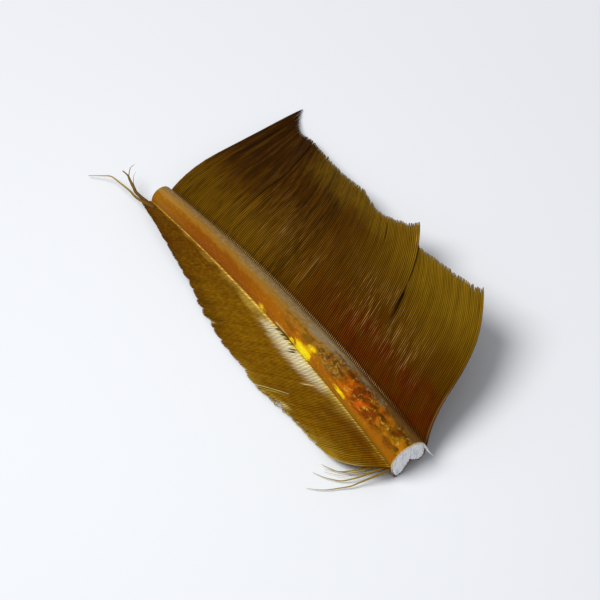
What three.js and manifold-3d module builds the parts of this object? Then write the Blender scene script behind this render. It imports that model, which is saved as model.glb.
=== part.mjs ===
// A cut length of a dyed turkey wing feather, lying on a flat surface with its upper side up.
// Millimetres: +Y runs toward the feather's tip, +X toward its wide vane, and +Z is up.
// The feather grew as one piece, so the shaft, both vanes and the stray barbs are one solid.
// "along" runs down the shaft from 0 at the base cut to 1 at the tip cut, and "out" runs down
// a barb from 0 at its root to 1 at its tip.
import * as THREE from "three";
import { mergeVertices } from "three/addons/utils/BufferGeometryUtils.js";
import Module from "manifold-3d";

const wasm = await Module();
wasm.setup();

// ---- driving dimensions ----------------------------------------------------------------

// Where the middle of the base cut stands, so that the outline is centred on the origin.
const BASE_X = -7.89;
const BASE_Y = -38.98;

// The shaft, as [at the base cut, at the tip cut].
const SHAFT_LENGTH = 66;
const SHAFT_WIDTH = [6.5, 3.7];
const SIDE_HEIGHT = [3.05, 2.3]; // of the side lines that the vanes grow from
const CROWN = [2.6, 2.0]; // of the rounded top, above the side lines
const KEEL = [3.3, 2.1]; // of the underside's two ridges, below the side lines
const ARCH = 1.75; // the shaft's middle bends up by this
const BOW = 0.75; // and toward the wide vane by this
const SHAFT_STATIONS = 24;
const CROWN_POINTS = 9;
// The underside from one side line to the groove's middle: [share of half width, share of keel].
const HALF_UNDERSIDE = [[0.95, 0.45], [0.78, 0.86], [0.64, 1], [0.36, 1], [0.22, 0.82], [0, 0.5]];

// The vanes are thin sheets of locks: barbs zipped together, with a ridge and a tip of their own.
const SHEET_THICKNESS = 0.5;
const RIDGE = 0.12; // a lock's middle stands above its edges by this
const ROOT_INSET = 0.7; // a sheet starts this far inside the shaft's side
const BEND_POWER = 1.2; // a barb turns more toward its tip
const SWELL_SCALE = 6.75; // makes the swell's curve, x by (1 - x) squared, 1 at its highest
const BARB_STEPS = 24;
const SPLIT_REACH = 0.02; // share of the shaft's length over which a split bends its barbs
const GAP_MIDDLE = 0.62; // the split's opening is widest this far out
const GAP_SPREAD = 0.2;

// Angles turn from the tip's direction toward the vane's own side, in degrees, at root and tip,
// and a swell bows a barb outward by that much more a third of the way out.
const WIDE_VANE = {
  side: 1,
  rootAngle: [[0, 48], [0.3, 70], [0.62, 75], [1, 71]],
  swell: [[0, 24], [0.3, 3], [0.62, 2], [1, 11]],
  tipAngle: [[0, 39], [0.3, 37], [0.62, 47], [0.82, 58], [1, 82]],
  // Heights over the side line: a rise that ends a third of the way out, a steady climb, a droop.
  rise: [[0, 2.2], [0.3, 1.8], [0.6, 1.5], [1, 1.3]],
  riseEnd: 0.35,
  climb: [[0, 5.6], [0.3, 5], [0.6, 1.6], [1, 0]],
  droop: [[0, 0], [0.3, 4.6], [0.6, 4.6], [1, 3.4]],
  outs: [0, 0.06, 0.13, 0.21, 0.3, 0.4, 0.5, 0.6, 0.7, 0.8, 0.9, 1],
};
const SPLITS = [0.26, 0.795];
const BASE_PART_LENGTH = [[0, 26.4], [0.26, 25.8]];
const OUTER_PART_LENGTH = [[0.26, 29.2], [0.62, 26.4], [0.82, 27.4], [0.96, 27.2], [1, 29.5]];
const WIDE_PARTS = [
  { from: 0, to: SPLITS[0], locks: 8, length: BASE_PART_LENGTH, lift: [0, -0.25], gap: [0, -0.35] },
  { from: SPLITS[0], to: SPLITS[1], locks: 15, length: OUTER_PART_LENGTH, lift: [0.35, 0], gap: [0.3, 0] },
  { from: SPLITS[1], to: 1, locks: 6, length: OUTER_PART_LENGTH, lift: [0.3, 0], gap: [0.15, 0] },
];
const WIDE_NOTCH = 0.7; // a lock's tip reaches past its edges by this

const NARROW_VANE = {
  side: -1,
  rootAngle: [[0, 42], [0.1, 39], [0.2, 35], [0.4, 31], [0.6, 27], [0.8, 24], [1, 22]],
  swell: [[0, 0], [1, 0]],
  tipAngle: [[0, 18], [0.1, 22], [0.2, 20], [0.4, 16.5], [0.6, 8.5], [0.8, 6.5], [1, 7.5]],
  edgeHeight: [[0, 0.25], [0.45, 0.25], [0.65, 0.9], [0.85, 1.5], [1, 1]],
  fall: 0.6, // share of the way down that is straight, the rest steepens outward
  outs: [0, 0.1, 0.24, 0.4, 0.56, 0.7, 0.82, 0.92, 1],
};
const NARROW_LENGTH = [[0, 10.7], [0.1, 11.1], [0.2, 14.7], [0.4, 15.3], [0.6, 12.6], [0.8, 8.9], [1, 2.6]];
const NARROW_PARTS = [
  { from: 0, to: 1, locks: 24, length: NARROW_LENGTH, lift: [0, 0], gap: [0, 0] },
];
const NARROW_NOTCH = 0.9;

// Stray barbs, as points from the middle of the base cut, each inside the feather at its first.
const STRAND_RADIUS = [0.32, 0.16];
const STRAND_SIDES = 5;
const STRAND_SEGMENTS = 8;
const STRANDS = [
  // past the tip cut
  [[-1.7, 64.5, 2.2], [-2.8, 66.6, 2.2], [-3.4, 67.7, 2.4], [-3.7, 69.8, 2.4], [-4.0, 74.6, 1.8], [-6.0, 77.9, 0.6]],
  [[-1.8, 65, 2.1], [-2.9, 66.9, 2.2], [-2.8, 69.1, 2.6], [-2.4, 72.2, 3.0], [-0.4, 73.4, 3.4]],
  // beside the base cut
  [[-2.2, 0.5, 2.4], [-4.9, 1.4, 1.2], [-7.5, 1.8, 0.6], [-9.8, 2.5, 0.35], [-12.3, 3.9, 0.3], [-14.5, 6, 0.25]],
  [[-2.2, 1, 2.4], [-4.4, 1.6, 1.5], [-6.3, 2.4, 0.9], [-9.9, 4.3, 0.4], [-11.5, 6, 0.35], [-12.1, 8, 0.3]],
  [[-2.2, 1.6, 2.4], [-4.3, 2.2, 1.6], [-5.7, 3.2, 1], [-8.4, 5.1, 0.45], [-9.6, 6.6, 0.4], [-10.5, 8.3, 0.35]],
];

const mix = THREE.MathUtils.lerp;

// ---- shapes ----------------------------------------------------------------------------

// A smooth curve through keys of [place, value]. Each key's slope is that between its neighbours.
function through(keys, place) {
  const last = keys.length - 1;
  const next = keys.findIndex(([at]) => at >= place);
  const i = Math.max(0, (next < 0 ? last : next) - 1);
  const slope = (k) => {
    const before = keys[Math.max(k - 1, 0)];
    const after = keys[Math.min(k + 1, last)];
    return (after[1] - before[1]) / (after[0] - before[0]);
  };
  const [start, low] = keys[i];
  const [end, high] = keys[i + 1];
  const span = end - start;
  const t = (place - start) / span;
  const easeIn = t * t * (3 - 2 * t);
  return mix(low, high, easeIn)
    + span * slope(i) * t * (1 - t) * (1 - t)
    - span * slope(i + 1) * t * t * (1 - t);
}

// The shaft's section at a place along it: its middle on the side lines, and its sizes.
function shaftAt(along) {
  const hump = 4 * along * (1 - along);
  return {
    middle: new THREE.Vector3(
      BASE_X + BOW * hump,
      BASE_Y + SHAFT_LENGTH * along,
      mix(...SIDE_HEIGHT, along) + ARCH * hump,
    ),
    half: mix(...SHAFT_WIDTH, along) / 2,
    crown: mix(...CROWN, along),
    keel: mix(...KEEL, along),
  };
}

// A closed ring of points round the shaft: the rounded crown, then the underside with its groove.
function shaftRing(along) {
  const { middle, half, crown, keel } = shaftAt(along);
  const ring = [];
  for (let i = 0; i < CROWN_POINTS; i += 1) {
    const turn = (Math.PI * i) / (CROWN_POINTS - 1);
    ring.push([half * Math.cos(turn), crown * Math.sin(turn)]);
  }
  const left = HALF_UNDERSIDE.map(([x, z]) => [-half * x, -keel * z]);
  const right = HALF_UNDERSIDE.slice(0, -1).map(([x, z]) => [half * x, -keel * z]);
  ring.push(...left, ...right.reverse());
  return ring.map(([x, z]) => new THREE.Vector3(middle.x + x, middle.y, middle.z + z));
}

// A geometry from a list of rings of equal length, closed round each ring and capped at both ends.
function loft(rings) {
  const size = rings[0].length;
  const points = rings.flat();
  const faces = [];
  for (let r = 0; r + 1 < rings.length; r += 1) {
    for (let i = 0; i < size; i += 1) {
      const a = r * size + i;
      const b = r * size + ((i + 1) % size);
      faces.push(a, a + size, b, b, a + size, b + size);
    }
  }
  const outline = rings[0].map((p) => new THREE.Vector2(p.x, p.z));
  const first = THREE.ShapeUtils.triangulateShape(outline, []);
  const lastRing = (rings.length - 1) * size;
  first.forEach(([a, b, c]) => faces.push(a, b, c, lastRing + a, lastRing + c, lastRing + b));
  return geometryOf(points, faces);
}

function geometryOf(points, faces) {
  const geometry = new THREE.BufferGeometry().setFromPoints(points);
  geometry.setIndex(faces);
  return geometry;
}

// Where a barb stands at a place out along it, on the middle of its sheet.
function barbPoint(vane, part, along, out, notch) {
  const { middle, half } = shaftAt(along);
  const length = through(part.length, along) - notch;
  const rootAngle = through(vane.rootAngle, along);
  const tipAngle = through(vane.tipAngle, along);
  const swell = through(vane.swell, along);
  const point = middle.clone();
  point.x += vane.side * half;
  for (let i = 0; i < BARB_STEPS; i += 1) {
    const at = ((i + 0.5) / BARB_STEPS) * out;
    const bowed = swell * SWELL_SCALE * at * (1 - at) * (1 - at);
    const angle = THREE.MathUtils.degToRad(mix(rootAngle, tipAngle, at ** BEND_POWER) + bowed);
    point.x += (vane.side * Math.sin(angle) * length * out) / BARB_STEPS;
    point.y += (Math.cos(angle) * length * out) / BARB_STEPS;
  }
  point.z = vane.side > 0 ? wideHeight(middle.z, along, out) : narrowHeight(middle.z, along, out);
  const nearFrom = Math.exp((part.from - along) / SPLIT_REACH);
  const nearTo = Math.exp((along - part.to) / SPLIT_REACH);
  const opening = Math.exp(-(((out - GAP_MIDDLE) / GAP_SPREAD) ** 2));
  point.y += opening * (part.gap[0] * nearFrom + part.gap[1] * nearTo);
  point.z += out * (part.lift[0] * nearFrom + part.lift[1] * nearTo);
  return point;
}

// The wide vane leaves the shaft upward, climbs on near the base cut and droops elsewhere.
function wideHeight(sideHeight, along, out) {
  const left = 1 - Math.min(out / WIDE_VANE.riseEnd, 1);
  const rise = through(WIDE_VANE.rise, along) * (1 - left * left);
  const climb = through(WIDE_VANE.climb, along) * out;
  return sideHeight + rise + climb - through(WIDE_VANE.droop, along) * out * out;
}

// The narrow vane droops from the shaft to its edge.
function narrowHeight(sideHeight, along, out) {
  const share = NARROW_VANE.fall * out + (1 - NARROW_VANE.fall) * out * out;
  return mix(sideHeight, through(NARROW_VANE.edgeHeight, along), share);
}

// One part of a vane as a closed sheet. Every second row is a lock's ridge and reaches further.
function sheet(vane, part, notch) {
  const rows = 2 * part.locks;
  const grid = [];
  for (let r = 0; r <= rows; r += 1) {
    const along = mix(part.from, part.to, r / rows);
    const isRidge = r % 2 === 1;
    const row = vane.outs.map((out) => {
      const point = barbPoint(vane, part, along, out, isRidge ? 0 : notch);
      point.z += isRidge ? RIDGE * Math.min(1, out * 4) : 0;
      return point;
    });
    const inside = row[0].clone();
    inside.x -= vane.side * ROOT_INSET;
    grid.push([inside, ...row]);
  }
  return thicken(grid, vane.side);
}

// A closed geometry of the sheet's thickness about a grid of points.
function thicken(grid, side) {
  const rows = grid.length;
  const columns = grid[0].length;
  const top = [];
  const bottom = [];
  grid.forEach((row, r) => row.forEach((point, c) => {
    const down = grid[Math.max(r - 1, 0)][c];
    const up = grid[Math.min(r + 1, rows - 1)][c];
    const inner = row[Math.max(c - 1, 0)];
    const outer = row[Math.min(c + 1, columns - 1)];
    const normal = outer.clone().sub(inner).cross(up.clone().sub(down)).normalize();
    const offset = normal.multiplyScalar((side * SHEET_THICKNESS) / 2);
    top.push(point.clone().add(offset));
    bottom.push(point.clone().sub(offset));
  }));
  const faces = [];
  const under = rows * columns;
  const quad = (a, b, c, d) => {
    if (side > 0) faces.push(a, b, c, a, c, d);
    else faces.push(a, c, b, a, d, c);
  };
  for (let r = 0; r + 1 < rows; r += 1) {
    for (let c = 0; c + 1 < columns; c += 1) {
      const a = r * columns + c;
      const b = a + columns;
      quad(a, a + 1, b + 1, b);
      quad(under + a, under + b, under + b + 1, under + a + 1);
    }
  }
  for (let c = 0; c + 1 < columns; c += 1) {
    const last = (rows - 1) * columns + c;
    quad(under + c, under + c + 1, c + 1, c);
    quad(last, last + 1, under + last + 1, under + last);
  }
  for (let r = 0; r + 1 < rows; r += 1) {
    const a = r * columns;
    const edge = a + columns - 1;
    quad(a, a + columns, under + a + columns, under + a);
    quad(under + edge, under + edge + columns, edge + columns, edge);
  }
  return geometryOf([...top, ...bottom], faces);
}

// A stray barb: a tube that tapers along a smooth curve through its points.
function strand(points) {
  const places = points.map(([x, y, z]) => new THREE.Vector3(BASE_X + x, BASE_Y + y, z));
  const curve = new THREE.CatmullRomCurve3(places);
  const frames = curve.computeFrenetFrames(STRAND_SEGMENTS);
  const rings = [];
  for (let i = 0; i <= STRAND_SEGMENTS; i += 1) {
    const radius = mix(...STRAND_RADIUS, i / STRAND_SEGMENTS);
    const middle = curve.getPointAt(i / STRAND_SEGMENTS);
    const ring = [];
    for (let k = 0; k < STRAND_SIDES; k += 1) {
      const turn = (2 * Math.PI * k) / STRAND_SIDES;
      ring.push(middle.clone()
        .addScaledVector(frames.normals[i], -radius * Math.cos(turn))
        .addScaledVector(frames.binormals[i], radius * Math.sin(turn)));
    }
    rings.push(ring);
  }
  return strandGeometry(rings);
}

// Rings of a few sides, capped with a fan at each end.
function strandGeometry(rings) {
  const faces = [];
  const size = STRAND_SIDES;
  for (let r = 0; r + 1 < rings.length; r += 1) {
    for (let i = 0; i < size; i += 1) {
      const a = r * size + i;
      const b = r * size + ((i + 1) % size);
      faces.push(a, a + size, b, b, a + size, b + size);
    }
  }
  const lastRing = (rings.length - 1) * size;
  for (let i = 1; i + 1 < size; i += 1) {
    faces.push(0, i, i + 1, lastRing, lastRing + i + 1, lastRing + i);
  }
  return geometryOf(rings.flat(), faces);
}

// ---- joining ---------------------------------------------------------------------------

function solidOf(geometry) {
  const bare = geometry.clone();
  bare.deleteAttribute("normal");
  bare.deleteAttribute("uv");
  const merged = mergeVertices(bare, 1e-4);
  return new wasm.Manifold(new wasm.Mesh({
    numProp: 3,
    vertProperties: merged.attributes.position.array,
    triVerts: new Uint32Array(merged.index.array),
  }));
}

function shaft() {
  const rings = [];
  for (let i = 0; i <= SHAFT_STATIONS; i += 1) {
    rings.push(shaftRing(i / SHAFT_STATIONS));
  }
  return loft(rings);
}

// Everything that hangs below the surface is cut off flat, which leaves the faces it rests on.
function aboveSurface(solid) {
  const room = new THREE.BoxGeometry(200, 200, 50);
  room.translate(0, 0, 25);
  return solid.intersect(solidOf(room));
}

// The largest body, without the tiny bubbles that joining can leave inside.
function mainBody(solid) {
  return solid.decompose().reduce((best, next) => (next.volume() > best.volume() ? next : best));
}

function featherGeometry() {
  const solids = [
    shaft(),
    ...WIDE_PARTS.map((part) => sheet(WIDE_VANE, part, WIDE_NOTCH)),
    ...NARROW_PARTS.map((part) => sheet(NARROW_VANE, part, NARROW_NOTCH)),
    ...STRANDS.map(strand),
  ].map(solidOf);
  const joined = solids.reduce((all, next) => all.add(next));
  const mesh = mainBody(aboveSurface(joined)).getMesh();
  const geometry = new THREE.BufferGeometry();
  geometry.setAttribute("position", new THREE.BufferAttribute(mesh.vertProperties, 3));
  geometry.setIndex(new THREE.BufferAttribute(mesh.triVerts, 1));
  geometry.computeVertexNormals();
  return geometry;
}

const oliveBrown = new THREE.MeshStandardMaterial({ color: 0x6b4a12, roughness: 0.55, metalness: 0 });

const feather = new THREE.Mesh(featherGeometry(), oliveBrown);
feather.name = "feather";

const model = new THREE.Group();
model.add(feather);

export default model;
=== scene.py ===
"""A cut length of a dyed turkey wing feather, barb by barb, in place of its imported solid.

Shapes are worked out in millimetres: +Y runs toward the feather's tip, +X toward its wide vane,
and +Z is up. "along" runs down the shaft from 0 at the base cut to 1 at the tip cut, and "out"
runs down a barb from 0 at its root to 1 at its tip.
"""

import bpy
import numpy as np
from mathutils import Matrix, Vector


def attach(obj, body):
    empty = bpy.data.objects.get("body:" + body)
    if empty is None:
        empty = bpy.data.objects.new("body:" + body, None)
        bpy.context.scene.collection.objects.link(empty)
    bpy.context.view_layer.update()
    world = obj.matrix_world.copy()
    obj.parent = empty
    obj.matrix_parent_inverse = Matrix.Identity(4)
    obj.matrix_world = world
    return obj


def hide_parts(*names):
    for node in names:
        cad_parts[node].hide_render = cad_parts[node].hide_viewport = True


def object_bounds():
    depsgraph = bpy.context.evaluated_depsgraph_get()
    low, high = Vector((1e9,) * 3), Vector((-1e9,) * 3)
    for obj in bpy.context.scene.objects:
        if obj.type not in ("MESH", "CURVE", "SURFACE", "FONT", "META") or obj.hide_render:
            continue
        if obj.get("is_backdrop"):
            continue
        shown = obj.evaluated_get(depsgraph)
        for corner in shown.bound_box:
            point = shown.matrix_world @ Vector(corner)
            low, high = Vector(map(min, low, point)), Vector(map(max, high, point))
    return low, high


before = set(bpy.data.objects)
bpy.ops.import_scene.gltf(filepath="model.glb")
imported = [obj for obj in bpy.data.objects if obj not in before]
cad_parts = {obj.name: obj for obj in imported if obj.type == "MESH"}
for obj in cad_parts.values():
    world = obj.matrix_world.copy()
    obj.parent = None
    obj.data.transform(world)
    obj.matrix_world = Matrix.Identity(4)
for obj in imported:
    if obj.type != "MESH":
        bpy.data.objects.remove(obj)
cad_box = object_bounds()

MM = 0.001
CLEARANCE = 0.02
LATTICE = 64
rng = np.random.default_rng(7)

# ---- driving dimensions, in millimetres and degrees ------------------------------------

BASE = np.array([-7.89, -38.98])
SHAFT_LENGTH = 66.0
SHAFT_WIDTH = (6.5, 3.7)
SIDE_HEIGHT = (3.05, 2.3)
CROWN = (2.6, 2.0)
KEEL = (3.3, 2.1)
ARCH = 1.75
BOW = 0.75
UNDERSIDE = [(0, 0.5), (0.22, 0.82), (0.36, 1), (0.64, 1), (0.78, 0.86), (0.95, 0.45), (1, 0)]
SKIN = 0.26

BARB_PITCH = 0.36
BEND_POWER = 1.2
SWELL_SCALE = 6.75
SPLITS = (0.26, 0.795)
SPLIT_REACH = 0.02

WIDE = {
    "side": 1,
    "root_angle": [(0, 48), (0.3, 70), (0.62, 75), (1, 71)],
    "swell": [(0, 24), (0.3, 3), (0.62, 2), (1, 11)],
    "tip_angle": [(0, 39), (0.3, 37), (0.62, 47), (0.82, 58), (1, 82)],
    "rise": [(0, 2.2), (0.3, 1.8), (0.6, 1.5), (1, 1.3)],
    "rise_end": 0.35,
    "climb": [(0, 5.6), (0.3, 5), (0.6, 1.6), (1, 0)],
    "droop": [(0, 0), (0.3, 4.6), (0.6, 4.6), (1, 3.3)],
}
BASE_PART_LENGTH = [(0, 26.4), (0.04, 25.6), (0.2, 25.2), (0.26, 25.9)]
OUTER_PART_LENGTH = [
    (0.26, 29.2), (0.3, 27.6), (0.42, 25.9), (0.5, 27.1), (0.62, 26.6), (0.78, 26.9), (0.87, 26.2),
    (0.94, 27.4), (1, 29.8),
]

NARROW = {
    "side": -1,
    "root_angle": [(0, 36), (0.1, 39), (0.2, 36), (0.4, 35), (1, 36)],
    "swell": [(0, 20), (0.06, 6), (0.12, 0), (1, 0)],
    "tip_angle": [(0, -12), (0.05, 10), (0.1, 20), (0.4, 20), (0.6, 18), (1, 22)],
    "edge_height": [(0, 0.35), (0.45, 0.35), (0.65, 0.9), (0.85, 1.5), (1, 1)],
    "fall": 0.6,
}
NARROW_LENGTH = [
    (0, 12.4), (0.05, 11.6), (0.1, 11.2), (0.2, 14.2), (0.3, 14.5), (0.4, 13.9), (0.5, 12.4),
    (0.6, 10.2), (0.8, 6.2), (1, 1.9),
]


# ---- working out shapes ----------------------------------------------------------------

def mix(ends, share):
    """Straight from the first end to the second."""
    return ends[0] + (ends[1] - ends[0]) * share


def ease(value, low, high):
    """0 up to low, 1 from high on, and three squares less two cubes in between."""
    t = np.clip((value - low) / (high - low), 0, 1)
    return t * t * (3 - 2 * t)


def through(keys, place):
    """A smooth curve through keys of place and value: a cubic between each two keys, with
    each key's slope that of the line between its neighbours."""
    at, value = np.array(keys, float).T
    index = np.arange(len(at))
    before = np.maximum(index - 1, 0)
    after = np.minimum(index + 1, len(at) - 1)
    slope = (value[after] - value[before]) / (at[after] - at[before])
    place = np.asarray(place, float)
    i = np.clip(np.searchsorted(at, place) - 1, 0, len(at) - 2)
    span = at[i + 1] - at[i]
    t = (place - at[i]) / span
    return (value[i] + (value[i + 1] - value[i]) * t * t * (3 - 2 * t)
            + span * slope[i] * t * (1 - t) ** 2
            - span * slope[i + 1] * t * t * (1 - t))


def drift(x, y, seed):
    """Smooth noise from -1 to 1: random values on a lattice, eased from each to the next."""
    table = np.random.default_rng(seed).uniform(-1, 1, (LATTICE, LATTICE))
    x, y = np.broadcast_arrays(np.asarray(x, float), np.asarray(y, float))
    left, low = np.floor(x).astype(int), np.floor(y).astype(int)
    u, v = ease(x - left, 0, 1), ease(y - low, 0, 1)
    corner = lambda dx, dy: table[(left + dx) % LATTICE, (low + dy) % LATTICE]
    near = corner(0, 0) * (1 - u) + corner(1, 0) * u
    far = corner(0, 1) * (1 - u) + corner(1, 1) * u
    return near * (1 - v) + far * v


def shaft_at(along):
    """The middle of the shaft's side lines, half its width, its crown and its keel: sizes run
    straight from cut to cut, and the middle is lifted by a parabola."""
    hump = 4 * along * (1 - along)
    middle = np.stack([
        BASE[0] + BOW * hump,
        BASE[1] + SHAFT_LENGTH * along,
        mix(SIDE_HEIGHT, along) + ARCH * hump,
    ], -1)
    return middle, mix(SHAFT_WIDTH, along) / 2, mix(CROWN, along), mix(KEEL, along)


def mesh_piece(name, points, faces, readings, finish):
    """A mesh object in metres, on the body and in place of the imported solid. faces is a list of
    arrays of corner numbers, one row a face, and readings holds one number for each point and
    name."""
    mesh = bpy.data.meshes.new(name)
    mesh.vertices.add(len(points))
    mesh.vertices.foreach_set("co", (points * MM).astype(np.float32).ravel())
    sizes = np.concatenate([np.full(len(rows), rows.shape[1]) for rows in faces])
    mesh.loops.add(int(sizes.sum()))
    mesh.loops.foreach_set("vertex_index", np.concatenate([rows.ravel() for rows in faces]))
    mesh.polygons.add(len(sizes))
    mesh.polygons.foreach_set("loop_start", np.concatenate([[0], np.cumsum(sizes)[:-1]]))
    mesh.polygons.foreach_set("loop_total", sizes)
    mesh.update(calc_edges=True)
    for key, values in readings.items():
        layer = mesh.attributes.new(key, "FLOAT", "POINT")
        layer.data.foreach_set("value", np.asarray(values, np.float32).ravel())
    mesh.polygons.foreach_set("use_smooth", np.ones(len(sizes), bool))
    mesh.materials.append(finish)
    piece = bpy.data.objects.new(name, mesh)
    bpy.context.scene.collection.objects.link(piece)
    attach(piece, "root")
    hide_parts("feather")


def tube_faces(tubes, stations, ring):
    """Corner numbers for closed tubes whose points are numbered tube by tube, station by
    station and then round the ring: the quads of the walls, and one cap at each end."""
    first = np.arange(tubes)[:, None, None] * stations * ring
    row = np.arange(stations - 1)[None, :, None] * ring
    here = np.arange(ring)[None, None]
    beside = (here + 1) % ring
    wall = np.stack([first + row + here, first + row + beside,
                     first + row + ring + beside, first + row + ring + here], -1)
    start = np.arange(tubes)[:, None] * stations * ring + np.arange(ring)[::-1]
    end = np.arange(tubes)[:, None] * stations * ring + (stations - 1) * ring + np.arange(ring)
    return [wall.reshape(-1, 4), start, end]


def outward(points, faces):
    """The faces, all turned round if the volume that they enclose comes out below zero."""
    quads = faces[0]
    a, b, c, d = (points[quads[:, k]] for k in range(4))
    volume = (np.cross(b - a, c - a) * a).sum() + (np.cross(c - a, d - a) * a).sum()
    return [rows[:, ::-1] for rows in faces] if volume < 0 else faces


# ---- shader maths ----------------------------------------------------------------------

class Reading:
    """A number or colour that a finish works out at each point. Arithmetic on it adds Math nodes."""

    def __init__(self, finish, socket):
        self.finish = finish
        self.socket = socket

    def math(self, operation, *values):
        """A Math node's result for the given values."""
        return self.finish.node("ShaderNodeMath", {"operation": operation}, dict(enumerate(values)))

    def __add__(self, other):
        return self.math("ADD", self, other)

    def __sub__(self, other):
        return self.math("SUBTRACT", self, other)

    def __rsub__(self, other):
        return self.math("SUBTRACT", other, self)

    def __mul__(self, other):
        return self.math("MULTIPLY", self, other)

    def __pow__(self, other):
        return self.math("POWER", self, other)

    def sine(self):
        return self.math("SINE", self)

    def size(self):
        return self.math("ABSOLUTE", self)

    def over(self, low, high):
        """0 below low, 1 above high, eased in between."""
        return self.finish.node(
            "ShaderNodeMapRange",
            {"interpolation_type": "SMOOTHSTEP"},
            {"Value": self, "From Min": low, "From Max": high},
        )

    def near(self, place, reach):
        """1 at a place, easing to 0 at its reach."""
        return 1 - (self - place).size().over(0, reach)

    __radd__ = __add__
    __rmul__ = __mul__


class Finish:
    """A material under its own name, with a Principled shader that the methods feed."""

    def __init__(self, name, **steady):
        self.material = bpy.data.materials.new(name)
        self.material.use_nodes = True
        self.tree = self.material.node_tree
        self.shader = self.tree.nodes["Principled BSDF"]
        for key, value in steady.items():
            self.shader.inputs[key.replace("_", " ")].default_value = value

    def node(self, kind, settings=None, inputs=None, output=0):
        """One node: its settings first, then a value or a link for each named input."""
        made = self.tree.nodes.new(kind)
        for key, value in (settings or {}).items():
            setattr(made, key, value)
        for key, value in (inputs or {}).items():
            self.feed(made.inputs[key], value)
        return Reading(self, made.outputs[output])

    def feed(self, socket, value):
        if isinstance(value, Reading):
            self.tree.links.new(value.socket, socket)
        else:
            socket.default_value = value

    def attribute(self, name):
        return self.node("ShaderNodeAttribute", {"attribute_name": name}, output="Fac")

    def vector(self, x, y, z=0.0):
        return self.node("ShaderNodeCombineXYZ", {}, {0: x, 1: y, 2: z})

    def place(self):
        return self.node("ShaderNodeTexCoord", output="Object")

    def parts(self, vector):
        """The three numbers of a vector."""
        made = self.node("ShaderNodeSeparateXYZ", {}, {0: vector}).socket.node
        return [Reading(self, socket) for socket in made.outputs]

    def noise(self, vector, scale=1.0, detail=2.0, roughness=0.5, distortion=0.0):
        return self.node("ShaderNodeTexNoise", {}, {
            "Vector": vector, "Scale": scale, "Detail": detail, "Roughness": roughness,
            "Distortion": distortion})

    def blend(self, mask, low, high):
        """The low colour where the mask is 0, the high one where it is 1."""
        return self.node("ShaderNodeMix", {"data_type": "RGBA"}, {0: mask, 6: low, 7: high}, 2)

    def shade(self, colour, amount):
        """A colour times a number."""
        grey = self.node("ShaderNodeCombineXYZ", {}, {0: amount, 1: amount, 2: amount})
        settings = {"data_type": "RGBA", "blend_type": "MULTIPLY"}
        return self.node("ShaderNodeMix", settings, {0: 1.0, 6: colour, 7: grey}, 2)

    def bump(self, height, distance):
        made = self.node("ShaderNodeBump", {}, {
            "Height": height, "Distance": distance, "Strength": 1.0})
        self.feed(self.shader.inputs["Normal"], made)

    def finish(self, colour, roughness):
        self.feed(self.shader.inputs["Base Color"], colour)
        self.feed(self.shader.inputs["Roughness"], roughness)
        return self.material


def tone(red, green, blue):
    """A colour given in display values from 0 to 255, as the shader wants it."""
    share = np.array([red, green, blue]) / 255
    linear = np.where(share < 0.04045, share / 12.92, ((share + 0.055) / 1.055) ** 2.4)
    return (*linear.tolist(), 1.0)


# ---- finishes --------------------------------------------------------------------------

VANE_SHEEN = {"Specular_IOR_Level": 0.06, "Specular_Tint": (1.0, 0.6, 0.15, 1.0)}
FIBRE_SCALE = 9000
FIBRE_DEPTH = 0.00004


def barb_lines(f, along, out, across, chance, painted_rib_shading):
    """How light a barb is at a point, about 1: each barb its own, with painted shade that leaves the
    rib lighter than the web beside it, and streaks that run down several barbs together."""
    broad = f.noise(f.vector(along * 34, out * 1.6), detail=3.0)
    fine = f.noise(f.vector(along * 190, out * 6, 3.0), detail=3.0)
    # painted shade across each barb: the rib lighter, the web beside it darker
    rib = 1 - across.size().over(0.0, 0.35)
    between = across.size().over(0.2, 0.5)
    return 0.27 + broad * 0.54 + fine * 0.6 + chance * 0.2 + (rib - between) * painted_rib_shading


def hairlines(f, along, out, seed, dashes, low, high):
    """1 in dashes on single barbs, 0 elsewhere; they gather in lines that slant outward."""
    slant = f.noise(f.vector((along - out * 0.05) * 130, out * 5, seed), detail=2.0)
    dash = f.noise(f.vector(along * 420, out * dashes, seed), detail=2.0)
    return (slant * 0.55 + dash * 0.45).over(low, high)


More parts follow.
